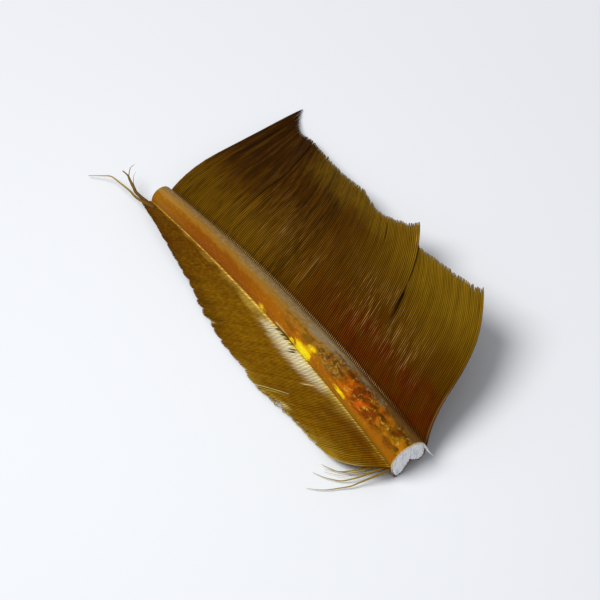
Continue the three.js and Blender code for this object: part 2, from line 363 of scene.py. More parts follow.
def wide_vane_finish():
    """Dark olive-brown: gold toward the outer edge near the base and at the roots near the tip,
    rust at the roots near the base, and nearly black where the dye pooled near the tip. Pale
    lines painted as glints and dark lines run down single barbs, painted shade darkens the
    splits between barbs and the gaps between their roots, the first barbs have a golden edge
    that is partly a painted highlight, and a comb of pale roots stands along the shaft."""
    f = Finish("wide_vane_dye", **VANE_SHEEN)
    along, out = f.attribute("along"), f.attribute("out")
    across, chance = f.attribute("across"), f.attribute("chance")
    patch = f.noise(f.vector(along * 9, out * 4, 7.0), detail=4.0) - 0.5
    s = along + patch * 0.22
    t = out + patch * 0.3
    outer_gold = t.over(0.26, 0.88) * (1 - s.over(0.16, 0.56))
    rim_gold = t.over(0.66, 0.88) * (1 - s.over(0.68, 0.82)) * 0.7
    root_gold = (1 - t.over(0.15, 0.5)) * s.over(0.45, 0.75) * 0.32
    pooled = s.over(0.47, 0.92) * t.over(0.25, 0.62) * (1 - rim_gold)
    golden = outer_gold.math("MAXIMUM", rim_gold + root_gold, outer_gold)
    colour = f.blend(golden, tone(84, 50, 1), tone(127, 95, 13))
    colour = f.blend(pooled * 0.76, colour, tone(54, 25, 0))
    rust = t.near(0.1, 0.26).over(0.1, 0.7) * (1 - s.over(0.3, 0.6))
    blotch = f.noise(f.vector(along * 22, out * 9, 13.0), detail=3.0).over(0.4, 0.6)
    colour = f.blend(rust * (0.5 + blotch * 0.35), colour, tone(84, 28, 1))
    # Painted glints: pale dashes on the ridges of barbs, where the sheen of the light would fall.
    glint_zone = s.near(0.26, 0.27).over(0, 0.8) * 1.15 + s.near(0.66, 0.24) * 0.7
    glint_zone = t.near(0.32, 0.32).over(0, 0.9) * glint_zone
    ridge = 1 - across.size().over(0.06, 0.36)
    painted_glint_lines = hairlines(f, along, out, 11.0, 8, 0.42, 0.74) * glint_zone * ridge
    colour = f.blend(painted_glint_lines * 0.7, colour, tone(166, 124, 64))
    dark_zone = s.over(0.42, 0.6) * 0.3 + 0.2
    dark_lines = hairlines(f, along, out, 17.0, 3, 0.48, 0.66) * dark_zone
    colour = f.blend(dark_lines, colour, tone(34, 16, 1))
    streaks = f.noise(f.vector((along - out * 0.03) * 80, out * 2.5, 23.0), detail=3.0)
    far = s.over(0.45, 0.65) * t.over(0.1, 0.35)
    colour = f.blend(streaks.over(0.5, 0.62) * far * 0.5, colour, tone(42, 19, 1))
    colour = f.blend((1 - streaks.over(0.38, 0.48)) * far * 0.4, colour, tone(104, 68, 8))
    worn = out.over(0.93, 1.0) * (1 - s.over(0.66, 0.8))
    colour = f.blend(worn * 0.4, colour, tone(136, 112, 44))
    mark = f.attribute("mark")
    # mark above 0 is pale lines and, on the first barbs, a golden edge that is partly a painted
    # highlight; below 0 it is painted shade in the splits between barbs.
    colour = f.blend(mark.over(0, 1), colour, tone(190, 152, 88))
    colour = f.blend((mark * -1).over(0, 1), colour, tone(36, 16, 1))
    comb = (1 - out.over(0.004, 0.026)) * (1 - across.size().over(0.1, 0.3))
    comb = comb * (0.15 + along.over(0.08, 0.2) * (1 - along.over(0.7, 0.9)) * 0.65)
    colour = f.blend(comb, colour, tone(206, 170, 110))
    # painted shade in the gaps between the barbs' roots
    root_gap_shade = (1 - out.over(0.02, 0.05)) * across.size().over(0.15, 0.35)
    colour = f.blend(root_gap_shade * 0.8, colour, tone(30, 16, 2))
    light = barb_lines(f, along, out, across, chance, 0.38 - out * 0.2 + s.near(0.42, 0.4) * 0.2)
    barbules = (out * 1400 + across.size() * 9).sine() * 0.05
    f.bump(barbules + f.noise(f.place(), FIBRE_SCALE, 1.0) * 0.1, FIBRE_DEPTH)
    return f.finish(f.shade(colour, light + barbules), 0.5 + chance * 0.2)


def narrow_vane_finish():
    """Olive gold, browner toward the tip and paler at the frayed edge near the base, partly with
    painted light shining through it, and bare cream barb roots in a ragged patch mid-way, with
    painted shade darkening the gaps between them."""
    f = Finish("narrow_vane_dye", **VANE_SHEEN)
    along, out = f.attribute("along"), f.attribute("out")
    across, chance = f.attribute("across"), f.attribute("chance")
    patch = f.noise(f.vector(along * 16, out * 4, 5.0), detail=4.0) - 0.5
    s = along + patch * 0.16
    t = out + patch * 0.45
    colour = f.blend(s.over(0.45, 0.85), tone(124, 84, 5), tone(97, 58, 3))
    wavy = f.noise(f.vector(along * 70 + out * 9, out * 12, 8.0), detail=3.0)
    colour = f.blend(wavy.over(0.5, 0.64) * 0.26, colour, tone(84, 46, 1))
    colour = f.blend((1 - wavy.over(0.36, 0.48)) * 0.2, colour, tone(152, 116, 24))
    edge = t.over(0.6, 1.0) * s.over(0.2, 0.5)
    colour = f.blend(edge * 0.6, colour, tone(76, 44, 1))
    # Paler gold at the frayed edge near the base: partly the barbs' own colour, partly painted light
    # shining through them.
    loose = (1 - s.over(0.0, 0.1)) * t.over(0.35, 0.8)
    colour = f.blend(loose * 0.6, colour, tone(180, 146, 44))
    brown = s.near(0.12, 0.16) * t.near(0.45, 0.3)
    colour = f.blend(brown * 0.6, colour, tone(92, 56, 3))
    rim = t.over(0.76, 1.0) * (1 - s.over(0.22, 0.34))
    colour = f.blend(rim * 0.5, colour, tone(172, 142, 40))
    rust = s.near(0.1, 0.2) * t.near(0.16, 0.22)
    colour = f.blend(rust * 0.8, colour, tone(86, 42, 2))
    fading = (1 - t.over(0.02, 0.24)) * s.near(0.42, 0.4).over(0, 0.6)
    colour = f.blend(fading * 0.5, colour, tone(200, 168, 72))
    bare_edge = out + patch * 0.12 + (chance - 0.5) * 0.06 + (along - 0.36).size() * 0.5
    bare = s.near(0.37, 0.16).over(0.0, 0.6) * (1 - bare_edge.over(0.08, 0.32)) * out.over(0.0, 0.04)
    colour = f.blend(bare, colour, tone(230, 217, 176))
    tip_roots = s.over(0.5, 0.66) * (1 - t.over(0.0, 0.2))
    colour = f.blend(tip_roots * 0.6, colour, tone(164, 124, 40))
    root = (1 - out.over(0.02, 0.06)) * (s.over(0.04, 0.4) * 0.8 + 0.2)
    root = root * (1 - across.size().over(0.15, 0.4)) * (chance.over(0.3, 0.6) * 0.6 + 0.4)
    root_tone = f.blend(s.over(0.5, 0.8), tone(238, 208, 100), tone(226, 186, 78))
    colour = f.blend(root, colour, root_tone)
    # Darker between the bare and fading roots: painted shade in the gaps between barbs.
    between = across.size().over(0.2, 0.45)
    colour = f.blend(between * (bare * 0.85 + fading * 0.3), colour, tone(96, 72, 14))
    mark = f.attribute("mark")
    colour = f.blend(mark.over(0, 1), colour, tone(232, 212, 140))
    colour = f.blend((mark * -1).over(0, 1), colour, tone(52, 40, 6))
    light = barb_lines(f, along, out, across, chance, 0.6 - out * 0.2)
    f.bump(f.noise(f.place(), FIBRE_SCALE, 1.0) * 0.1, FIBRE_DEPTH)
    return f.finish(f.shade(colour, light), 0.5 + chance * 0.2)


def shaft_finish():
    """Amber horn on the narrow side and tan on the other, the tan partly the horn's own and partly a
    painted sheen. A crust of orange, red-brown and olive scabs runs down the top near the base,
    with bright yellow dye beside it."""
    f = Finish("stained_horn", Specular_IOR_Level=0.12, Specular_Tint=(1.0, 0.65, 0.2, 1.0))
    along, turn = f.attribute("along"), f.attribute("turn")
    grain = f.noise(f.vector(along * 10, turn * 26), detail=4.0)
    patch = f.noise(f.vector(along * 22, turn * 5, 4.0), detail=4.0, roughness=0.6)
    ragged = f.noise(f.vector(along * 90, turn * 16, 2.0), detail=4.0, roughness=0.65)
    side = turn + (patch - 0.5) * 0.22 + (ragged - 0.5) * 0.1
    amber = f.blend(along.over(0.4, 0.7), tone(160, 92, 2), tone(132, 70, 1))
    amber = f.blend(along.over(0.8, 1.0), amber, tone(146, 92, 10))
    stained = patch.over(0.5, 0.66) * (0.6 - along.over(0.7, 0.95) * 0.3)
    amber = f.blend(stained, amber, tone(132, 62, 1))
    lit = along.near(0.3, 0.22) * 0.5 + 0.2
    amber = f.blend(ragged.over(0.54, 0.7) * lit, amber, tone(214, 150, 14))
    gold = f.blend(along.over(0.8, 1.0), tone(154, 106, 26), tone(164, 118, 44))
    # The wide side's tan, its greyed and its paler ragged patches: partly the horn's own colour and
    # partly a painted sheen reflecting the white surroundings.
    tan_and_sheen = f.blend(along.over(0.6, 0.85), tone(142, 112, 64), tone(142, 106, 48))
    greyed = patch.over(0.48, 0.62) * (1 - along.over(0.4, 0.6)) * 0.6
    tan_and_sheen = f.blend(greyed, tan_and_sheen, tone(122, 108, 84))
    tan_and_sheen = f.blend(ragged.over(0.46, 0.62) * 0.45, tan_and_sheen, tone(168, 144, 106))
    colour = f.blend(side.over(0.3, 0.44), amber, gold)
    colour = f.blend(side.over(0.44, 0.6), colour, tan_and_sheen)
    colour = f.blend(side.over(0.72, 0.92) * 0.7, colour, tone(100, 70, 32))
    bare_side = (turn + (patch - 0.5) * 0.2).near(0.63, 0.15).over(0, 0.6)
    bare_horn = along.near(0.32, 0.12).over(0, 0.6) * bare_side
    colour = f.blend(bare_horn * 0.6, colour, tone(152, 134, 100))
    brown_edge = (turn + (patch - 0.5) * 0.3).over(0.42, 0.7) * (1 - along.over(0.16, 0.32))
    colour = f.blend(brown_edge * 0.85, colour, tone(100, 60, 6))
    low_side = (1 - turn.over(0.06, 0.2)) * (1 - along.over(0.3, 0.5))
    colour = f.blend(low_side * 0.5, colour, tone(140, 96, 12))
    zone = side.near(0.42, 0.3).over(0.05, 0.5) * (1 - (along + (patch - 0.5) * 0.1).over(0.25, 0.33))
    crust = f.noise(f.vector(along * 30, turn * 6, 9.0), detail=3.0, roughness=0.5, distortion=0.6)
    dark = f.noise(f.vector(along * 38, turn * 8, 21.0), detail=3.0, roughness=0.6, distortion=0.6)
    lumps = f.noise(f.vector(along * 66, turn * 13, 15.0), detail=3.0, roughness=0.6, distortion=0.4)
    red = (along + (patch - 0.5) * 0.08).near(0.17, 0.12)
    scab = f.blend(red, tone(136, 86, 6), tone(158, 68, 2))
    raised = f.blend(red, tone(180, 112, 10), tone(198, 84, 4))
    scab = f.blend(crust.over(0.5, 0.64), scab, raised)
    scab = f.blend((1 - crust.over(0.38, 0.49)) * 0.75, scab, tone(112, 44, 2))
    scab = f.blend(dark.over(0.52, 0.62) * 0.8, scab, tone(84, 52, 3))
    scab = f.blend((1 - dark.over(0.34, 0.42)) * 0.6, scab, tone(168, 136, 16))
    scab = f.blend(lumps.over(0.57, 0.7) * 0.7, scab, tone(214, 170, 62))
    scab = f.shade(scab, 1 - turn.over(0.36, 0.56) * 0.26)
    colour = f.blend(zone, colour, scab)
    olive_zone = along.near(0.41, 0.09).over(0, 0.5) * side.near(0.36, 0.16).over(0, 0.6)
    colour = f.blend(olive_zone * crust.over(0.4, 0.56) * 0.8, colour, tone(112, 76, 6))
    colour = f.blend(olive_zone * lumps.over(0.5, 0.72) * 0.5, colour, tone(84, 54, 4))
    crumb_zone = along.near(0.3, 0.085).over(0.1, 0.6) * side.near(0.4, 0.22).over(0.1, 0.5)
    crumbs = f.blend(lumps.over(0.4, 0.56), tone(92, 66, 18), tone(154, 116, 46))
    crumbs = f.blend(crust.over(0.54, 0.62) * 0.8, crumbs, tone(120, 54, 14))
    crumbs = f.blend(dark.over(0.54, 0.62) * 0.8, crumbs, tone(62, 42, 8))
    colour = f.blend(crumb_zone * ragged.over(0.42, 0.52), colour, crumbs)
    far_side = turn.near(0.64, 0.12).over(0.2, 0.7) * along.near(0.17, 0.07).over(0, 0.4)
    colour = f.blend(far_side * lumps.over(0.46, 0.56) * 0.7, colour, tone(138, 124, 90))
    edge = (ragged - 0.5) * 0.035 + (patch - 0.5) * 0.04
    at = along + edge
    bright = at.near(0.371, 0.05).over(0.05, 0.7) * (1 - (turn + edge * 2.5).over(0.15, 0.28))
    bright = bright + at.near(0.417, 0.012) * turn.near(0.08, 0.1).over(0.2, 0.6)
    bright = bright + at.near(0.22, 0.03) * (turn + edge).near(0.165, 0.06).over(0.1, 0.6)
    bright = bright + at.near(0.537, 0.016) * turn.near(0.08, 0.12) * 0.8
    bright = bright + at.near(0.348, 0.026) * (turn + edge).near(0.3, 0.1) * 0.8
    colour = f.blend(bright.over(0.0, 0.5) * 0.7, colour, tone(206, 148, 8))
    colour = f.blend(bright.over(0.2, 1.0), colour, tone(238, 212, 4))
    glints = bright.over(0.5, 1) * ragged.over(0.48, 0.62)
    colour = f.blend(glints * 0.5, colour, tone(250, 236, 70))
    pale_scrape = at.near(0.455, 0.035) * (turn + edge).near(0.085, 0.05)
    colour = f.blend(pale_scrape.over(0.1, 0.6) * 0.7, colour, tone(206, 176, 106))
    # darker in a ragged patch on the narrow side
    narrow_side_dark_patch = along.near(0.437, 0.05).over(0.1, 0.5) * (1 - (turn + edge * 2).over(0.03, 0.1))
    colour = f.blend(narrow_side_dark_patch * ragged.over(0.36, 0.48), colour, tone(54, 46, 8))
    line = 1 - turn.over(0.012, 0.035)
    line_tone = f.blend(along.over(0.4, 0.55), tone(110, 78, 6), tone(196, 152, 58))
    colour = f.blend(line * 0.7, colour, line_tone)
    rim = 1 - along.over(0, 0.003)
    colour = f.blend(rim, colour, tone(226, 206, 156))
    colour = f.blend(1 - turn.over(-0.16, -0.02), colour, tone(96, 68, 34))
    colour = f.shade(colour, 0.66 + grain * 0.44 + ragged * 0.24)
    f.bump((lumps + ragged) * zone * 3 + grain, 0.00006)
    return f.finish(colour, 0.34 + grain * 0.2 + zone * 0.2)


def pith_finish():
    """White foam, faintly blue, with fine cells and upright streaks."""
    f = Finish("foam_pith", Specular_IOR_Level=0.15)
    cells = f.noise(f.place(), 4200, 3.0, 0.6)
    x, _, z = f.parts(f.place())
    streaks = f.noise(f.vector(x * 2600, z * 420), detail=3.0)
    colour = f.blend(streaks.over(0.34, 0.56), tone(218, 220, 228), tone(250, 250, 250))
    colour = f.shade(colour, 0.9 + cells * 0.18)
    f.bump(cells + streaks, 0.00008)
    return f.finish(colour, 0.8 + cells * 0.1)


def stray_finish():
    """Barbs that have come loose: brown to olive gold where pale is 0, toward cream above it and
    grey-brown below."""
    f = Finish("stray_barb_dye", Specular_IOR_Level=0.06)
    out, pale = f.attribute("out"), f.attribute("pale")
    colour = f.blend(out.over(0, 0.5), tone(112, 72, 6), tone(158, 134, 44))
    colour = f.blend((pale + out.over(0.5, 1) * 0.4).over(0, 1), colour, tone(214, 190, 130))
    colour = f.blend((pale * -1).over(0, 0.6), colour, tone(92, 66, 30))
    colour = f.shade(colour, 0.8 + f.noise(f.place(), 3000, 2.0) * 0.4)
    f.bump(f.noise(f.place(), FIBRE_SCALE, 1.0), FIBRE_DEPTH / 2)
    return f.finish(colour, 0.6 + out * 0.1)


# ---- the vanes, barb by barb -----------------------------------------------------------

def barb_paths(vane, length, along, out):
    """Points of barbs, one row each: a barb starts on the shaft's side line and walks outward,
    its heading turning from the root angle to the tip angle as out to the bend power, with a
    swell on top of out times one less out squared."""
    middle, half, _, _ = shaft_at(along)
    root = np.radians(through(vane["root_angle"], along))[:, None]
    tip = np.radians(through(vane["tip_angle"], along))[:, None]
    swell = np.radians(through(vane["swell"], along))[:, None]
    bowed = swell * SWELL_SCALE * out * (1 - out) ** 2
    heading = root + (tip - root) * out ** BEND_POWER + bowed
    step = np.diff(out, axis=1)
    walk = lambda rate: np.concatenate(
        [np.zeros((len(along), 1)), np.cumsum((rate[:, 1:] + rate[:, :-1]) / 2 * step, 1)], 1)
    x = middle[:, :1] + vane["side"] * (half[:, None] + length[:, None] * walk(np.sin(heading)))
    y = middle[:, 1:2] + length[:, None] * walk(np.cos(heading))
    return x, y, middle[:, 2:3]


def wide_height(along, out, side_height):
    """Up from the shaft until rise_end, as one less a square, with a steady climb outward and
    a droop by a square of out."""
    left = 1 - np.minimum(out / WIDE["rise_end"], 1)
    rise = through(WIDE["rise"], along)[:, None]
    climb = through(WIDE["climb"], along)[:, None]
    droop = through(WIDE["droop"], along)[:, None]
    return side_height + rise * (1 - left ** 2) + climb * out - droop * out ** 2


def narrow_height(along, out, side_height):
    """Down from the shaft to the edge, part straight and part as a square of out."""
    share = NARROW["fall"] * out + (1 - NARROW["fall"]) * out ** 2
    edge = through(NARROW["edge_height"], along)[:, None]
    return side_height + (edge - side_height) * share


# Round a barb: how far across, as a share of the step to its neighbours; how high its ridge is,
# in millimetres; and how much of the rib's depth hangs there.
BARB_SECTION = np.array([(-0.56, 0.0, 0), (0.0, 0.06, 0), (0.56, 0.015, 0), (0.0, 0.0, 1)])
BARB_STATIONS = 18
# The rib's depth everywhere, and what it has on top of that at the root, in millimetres.
RIB_DEPTH = (0.12, 0.6)
# Where a barb starts to narrow toward its tip, and how much of its size it loses.
NARROWS_FROM = 0.97
NARROWS_BY = 0.4
# How far barbs sway along the shaft, and how far their tips end askew, in millimetres.
WAVER = 0.12
FLICK = 0.03


def barb_outs(count):
    """Stations of barbs, closer together toward both ends: half of one less a cosine."""
    walk = np.linspace(0, np.pi, BARB_STATIONS)
    return np.broadcast_to((1 - np.cos(walk)) / 2, (count, BARB_STATIONS))


def marks(along, out, places):
    """Dark marks below 0 and light ones above: each fades across the barbs as a bell curve, and
    toward both its ends."""
    total = np.zeros(out.shape)
    for at, breadth, start, end, strength in places:
        fade = (end - start) * 0.3
        run = ease(out, start, start + fade) * (1 - ease(out, end - fade, end))
        total = total + strength * run * np.exp(-((along[:, None] - at) / breadth) ** 2)
    return np.clip(total, -1, 1)


def barbs(name, side, centres, out, run, points, mark, finish):
    """Closed barbs along rows of points. Each reaches across a little more than half of the
    step to its neighbours, and has a ridge above and a rib below along the surface's normal.
    out ends at 1 on every barb, and run where the barb ends on the vane."""
    count = len(centres)
    beside = np.gradient(points, axis=0)
    normal = np.cross(np.gradient(points, axis=1), beside) * side
    normal = (normal / np.linalg.norm(normal, axis=-1, keepdims=True))[:, :, None]
    narrowing = (1 - NARROWS_BY * ease(out, NARROWS_FROM, 1))[:, :, None]
    across, ridge, hangs = BARB_SECTION.T
    rib = (RIB_DEPTH[0] + RIB_DEPTH[1] * (1 - out) ** 2)[:, :, None]
    lift = (ridge - hangs * rib) * narrowing
    sideways = (across * narrowing)[..., None] * beside[:, :, None]
    flat = (points[:, :, None] + sideways + normal * lift[..., None]).reshape(-1, 3)
    flat[:, 2] = np.maximum(flat[:, 2], CLEARANCE)
    ring = len(BARB_SECTION)
    wide = lambda values: np.broadcast_to(values, (count, BARB_STATIONS, ring))
    readings = {
        "along": wide(centres[:, None, None]),
        "out": wide(run[:, :, None]),
        "across": wide(across[None, None]),
        "chance": wide(rng.uniform(0, 1, count)[:, None, None]),
        "mark": wide(mark[:, :, None]),
    }
    faces = outward(flat, tube_faces(count, BARB_STATIONS, ring))
    mesh_piece(name, flat, faces, readings, finish)


def barb_centres(start, end):
    """Places of barbs a pitch apart, the first and last half a pitch inside."""
    count = round((end - start) * SHAFT_LENGTH / BARB_PITCH)
    return start + (np.arange(count) + 0.5) / count * (end - start)


def unruly(centres, out):
    """How far barbs stray from the vane's smooth form, in millimetres along the shaft and up:
    neighbours sway together, and each lies a little high or low and ends a little askew."""
    column = centres[:, None]
    chance = rng.normal(0, 1, (2, len(centres), 1))
    end = ease(out, 0.9, 1)
    along = WAVER * drift(column * 30, out * 2, 4) * out ** 2 + FLICK * chance[0] * end
    waves = 0.12 * drift(column * 26, out * 3, 3) + 0.06 * drift(column * 70, out * 7, 8)
    up = waves * ease(out, 0, 0.5) + 0.015 * chance[1] * ease(out, 0, 0.1)
    return along, up + FLICK * np.abs(chance[1]) * end


# Where the barbs of the wide vane end, as a share of the lengths below.
WIDE_END = 1.012
# Each part of the wide vane: where it starts and ends along the shaft, the lengths of its barbs,
# how far its first and last barbs are lifted, and how far the first slide over the part before.
WIDE_PARTS = {
    "wide_vane_base_barbs": {
        "from": 0, "to": SPLITS[0], "length": BASE_PART_LENGTH,
        "lift": (0, -0.25), "overlap": 0,
    },
    "wide_vane_middle_barbs": {
        "from": SPLITS[0], "to": SPLITS[1], "length": OUTER_PART_LENGTH,
        "lift": (0.35, 0), "overlap": 0.1,
    },
    "wide_vane_tip_barbs": {
        "from": SPLITS[1], "to": 1, "length": OUTER_PART_LENGTH,
        "lift": (0.25, 0), "overlap": 0.4,
    },
}
# Hairline splits between barbs: place along, where each starts and is widest, and its width.
WIDE_SPLITS = [
    (0.03, 0.93, 1, 0.3), (0.37, 0.8, 1, 0.1), (0.455, 0.93, 1, 0.3), (0.7, 0.93, 1, 0.3),
]
# Marks: place along, breadth, start and end out, and strength, which is below 0 for dark. The
# dark ones are painted shade in the splits between barbs, the last two are the first barbs'
# golden edge, partly their own colour and partly a painted highlight, and the other pale ones
# are pale lines.
WIDE_MARKS_AND_PAINTED_LIGHT = [
    (0.252, 0.006, 0.3, 0.64, -1), (0.254, 0.004, 0.6, 0.72, 0.9), (0.25, 0.006, 0.68, 1.1, -0.5),
    (0.266, 0.004, 0.8, 0.95, 0.5), (0.372, 0.004, 0.68, 1, -0.7), (0.366, 0.005, 0.3, 0.6, -0.35),
    (0.6, 0.005, 0.35, 0.85, -0.6), (0.8, 0.004, 0.1, 0.6, -0.7), (0.8, 0.004, 0.55, 0.95, -0.6),
    (0.92, 0.006, 0.3, 0.8, -0.6), (0.957, 0.006, 0.3, 0.95, -0.9), (0.949, 0.003, 0.35, 0.9, 0.25),
    (0.244, 0.002, 0.15, 0.3, 0.4), (0.53, 0.002, 0.03, 0.36, 0.3), (0.537, 0.002, 0.06, 0.4, 0.25),
    (0.525, 0.004, 0.02, 0.3, -0.5), (0.667, 0.002, 0.2, 0.36, 0.3),
    (0.002, 0.003, 0.05, 0.97, 0.08), (0.001, 0.003, -0.1, 0.4, 0.3),
]


def make_wide_vane():
    """Three parts of barbs. Near a hairline split, barbs part by half its width, and near a
    part's ends they are lifted and slide over the part before, each less by an exponential of
    the distance."""
    finish = wide_vane_finish()
    for name, part in WIDE_PARTS.items():
        centres = barb_centres(part["from"], part["to"])
        out = barb_outs(len(centres))
        ragged = 0.006 * drift(centres * 60, 0, 5) - 0.016 * rng.uniform(0, 1, len(centres)) ** 3
        run = out * (WIDE_END + ragged)[:, None]
        x, y, side_height = barb_paths(WIDE, through(part["length"], centres), centres, run)
        shift, lift = unruly(centres, out)
        for at, start, full, width in WIDE_SPLITS:
            away = centres[:, None] - at
            opening = width / 2 * ease(out, start, full)
            shift = shift + np.sign(away) * opening * np.exp(-np.abs(away) / SPLIT_REACH)
        from_edge = np.exp(-(centres[:, None] - part["from"]) / SPLIT_REACH)
        to_edge = np.exp(-(part["to"] - centres[:, None]) / SPLIT_REACH)
        shift = shift - part["overlap"] * from_edge * ease(out, 0.3, 0.7)
        lift = lift + out * (part["lift"][0] * from_edge + part["lift"][1] * to_edge)
        points = np.stack([x, y + shift, wide_height(centres, run, side_height) + lift], -1)
        mark = marks(centres, run, WIDE_MARKS_AND_PAINTED_LIGHT)
        barbs(name, WIDE["side"], centres, out, run, points, mark, finish)


NARROW_LOCKS = 24
# Notches in the narrow vane's edge: place along, breadth, and depth as a share of a barb.
NARROW_NOTCHES = [
    (0.05, 0.012, 0.07), (0.16, 0.012, 0.08), (0.27, 0.01, 0.05), (0.45, 0.012, 0.04),
    (0.62, 0.014, 0.04),
]
NARROW_MARKS = [
    (0.385, 0.006, 0, 0.1, -0.8), (0.375, 0.003, 0.04, 0.15, -0.9), (0.425, 0.004, -0.02, 0.06, -0.9),
    (0.44, 0.006, -0.02, 0.05, -0.9), (0.46, 0.006, -0.02, 0.05, -0.9),
    (0.405, 0.004, -0.02, 0.05, -0.9), (0.255, 0.004, 0.15, 0.34, 0.6),
    (0.16, 0.012, 0.75, 1.1, 0.55), (0.002, 0.006, 0.2, 1.1, 0.3), (0.445, 0.008, 0.85, 1.1, 0.4),
]


def make_narrow_vane():
    """One row of barbs whose edge is scalloped lock by lock, notched by bell curves, and frayed
    near the base."""
    centres = barb_centres(0, 1)
    out = barb_outs(len(centres))
    at_lock = centres * NARROW_LOCKS
    scallop = np.abs(at_lock - np.floor(at_lock) - 0.5) * 2
    reach = 1 - 0.03 * scallop ** 3 + 0.015 * drift(centres * 34, 0, 6)
    for at, breadth, depth in NARROW_NOTCHES:
        reach = reach - depth * np.exp(-((centres - at) / breadth) ** 2)
    frayed = 1 - ease(centres, 0.1, 0.25)
    reach = reach - 0.06 * frayed * rng.uniform(0, 1, len(centres)) ** 2
    run = out * reach[:, None]
    x, y, side_height = barb_paths(NARROW, through(NARROW_LENGTH, centres), centres, run)
    shift, lift = unruly(centres, out)
    points = np.stack([x, y + shift, narrow_height(centres, run, side_height) + lift], -1)
    mark = marks(centres, run, NARROW_MARKS)
    finish = narrow_vane_finish()
    barbs("narrow_vane_barbs", NARROW["side"], centres, out, run, points, mark, finish)


# ---- the shaft -------------------------------------------------------------------------

# The broken edge under the base cut, by distance from the middle toward the wide side and height.
CHIP = [
    (-3.3, 0), (-2.2, 0), (-1.3, 0.25), (-0.5, 1.3), (0.3, 2.1), (1.1, 1.5), (2, 1), (2.8, 1.2),
    (3.3, 1.6),
]
CHIP_REACH = 1.3
CHIP_RAGGED = 0.2
SHAFT_RING = 120
SHAFT_STATIONS = 300
# How far the skin runs inside each cut, and how far the foam stands back from its outside.
SKIN_TURNS_IN = 2.0
FOAM_INSET = SKIN * 0.85
PLUG_DEPTH = 1.6
PLUG_RINGS = 26
MIDDLE_RING = 0.0001


def shaft_section(turn, half, crown, keel):
    """Points round the shaft for angles from the wide side over the crown: half an ellipse
    above, and below it the keel's depth times a curve through the underside's keys."""
    x = half * np.cos(turn)
    above = crown * np.sin(turn)
    below = -keel * through(UNDERSIDE, np.abs(np.cos(turn)))
    return x, np.where(turn <= np.pi, above, below)


def chipped(x, z, side_height, from_cut, drawn_in):
    """Heights round the shaft with the underside broken away at the base cut: the ragged edge
    of the break runs through the chip's keys, and fades inward as a bell curve."""
    edge = through(CHIP, x) + CHIP_RAGGED * drift(x * 5 + 20, 0, 41) + drawn_in
    fade = np.exp(-(from_cut / CHIP_REACH) ** 2)
    low = edge - side_height
    return np.where(z < low, z + (low - z) * fade, z)


def make_shaft():
    """A skin with foam at both cuts: rings run from inside the base cut, out over its rim, along
    the outside and in again at the tip cut."""
    turn = np.arange(SHAFT_RING) / SHAFT_RING * 2 * np.pi
    walk = np.linspace(0, 1, SHAFT_STATIONS)
    inset = SKIN_TURNS_IN / SHAFT_LENGTH
    along = np.concatenate([[inset, 0.0], walk, [1.0, 1 - inset]])
    wall = np.concatenate([[SKIN, SKIN], np.zeros(SHAFT_STATIONS), [SKIN, SKIN]])
    middle, half, crown, keel = shaft_at(along)
    half, crown, keel = half - wall, crown - wall, keel - wall
    x, z = shaft_section(turn[None], half[:, None], crown[:, None], keel[:, None])
    z = chipped(x, z, middle[:, 2:3], along[:, None] * SHAFT_LENGTH, wall[:, None])
    share = turn[None] / np.pi
    column = along[:, None]
    rough = 0.05 * drift(column * 120, share * 14, 21) + 0.05 * drift(column * 260, share * 30, 22)
    scabbed = (1 - ease(column, 0.3, 0.45)) * ease(share, 0.2, 0.35) * (1 - ease(share, 0.62, 0.8))
    grain = 0.012 * drift(column * 10, share * 60, 23)
    outside = wall[:, None] == 0
    lift = (rough * scabbed + grain) * outside
    points = np.stack([
        middle[:, :1] + x * (1 + lift / half[:, None]),
        np.broadcast_to(middle[:, 1:2], x.shape),
        middle[:, 2:3] + z * (1 + lift / crown[:, None]),
    ], -1)
    flat = points.reshape(-1, 3)
    flat[:, 2] = np.maximum(flat[:, 2], 0.0)
    faces = tube_faces(1, len(along), SHAFT_RING)
    readings = {
        "along": np.broadcast_to(column, x.shape),
        "turn": np.broadcast_to(1 - share, x.shape),
    }
    mesh_piece("shaft_skin", flat, outward(flat, faces), readings, shaft_finish())


def make_pith(finish):
    """A plug of foam in each end: the shaft's section drawn in to its middle ring by ring, with
    a rough, slightly domed face."""
    turn = np.arange(SHAFT_RING) / SHAFT_RING * 2 * np.pi
    for name, along, facing in (("pith_at_base_cut", 0.0, -1), ("pith_at_tip_cut", 1.0, 1)):
        middle, half, crown, keel = shaft_at(np.array(along))
        x, z = shaft_section(turn, half - FOAM_INSET, crown - FOAM_INSET, keel - FOAM_INSET)
        z = chipped(x, z, middle[2], along * SHAFT_LENGTH, FOAM_INSET)
        drawn_in = np.linspace(0.98, MIDDLE_RING, PLUG_RINGS)
        share = np.concatenate([[MIDDLE_RING, 1.0, 1.0], drawn_in])[:, None]
        depth = np.concatenate([[-PLUG_DEPTH, -PLUG_DEPTH, -0.05], np.zeros(PLUG_RINGS)])[:, None]
        px, pz = x[None] * share, z[None] * share
        cells = 0.05 * drift(px * 5 + 9, pz * 5 + 9, 31) + 0.04 * drift(px * 13 + 9, pz * 9 + 9, 32)
        face = np.arange(len(share))[:, None] > 2
        domed = 0.1 * (1 - share ** 2) + cells
        y = middle[1] + facing * (depth + np.where(face, domed, 0.0))
        points = np.stack([middle[0] + px, y, middle[2] + pz], -1)
        flat = points.reshape(-1, 3)
        flat[:, 2] = np.maximum(flat[:, 2], 0.03)
        faces = tube_faces(1, len(share), SHAFT_RING)
        mesh_piece(name, flat, outward(flat, faces), {}, finish)


# ---- stray barbs -----------------------------------------------------------------------

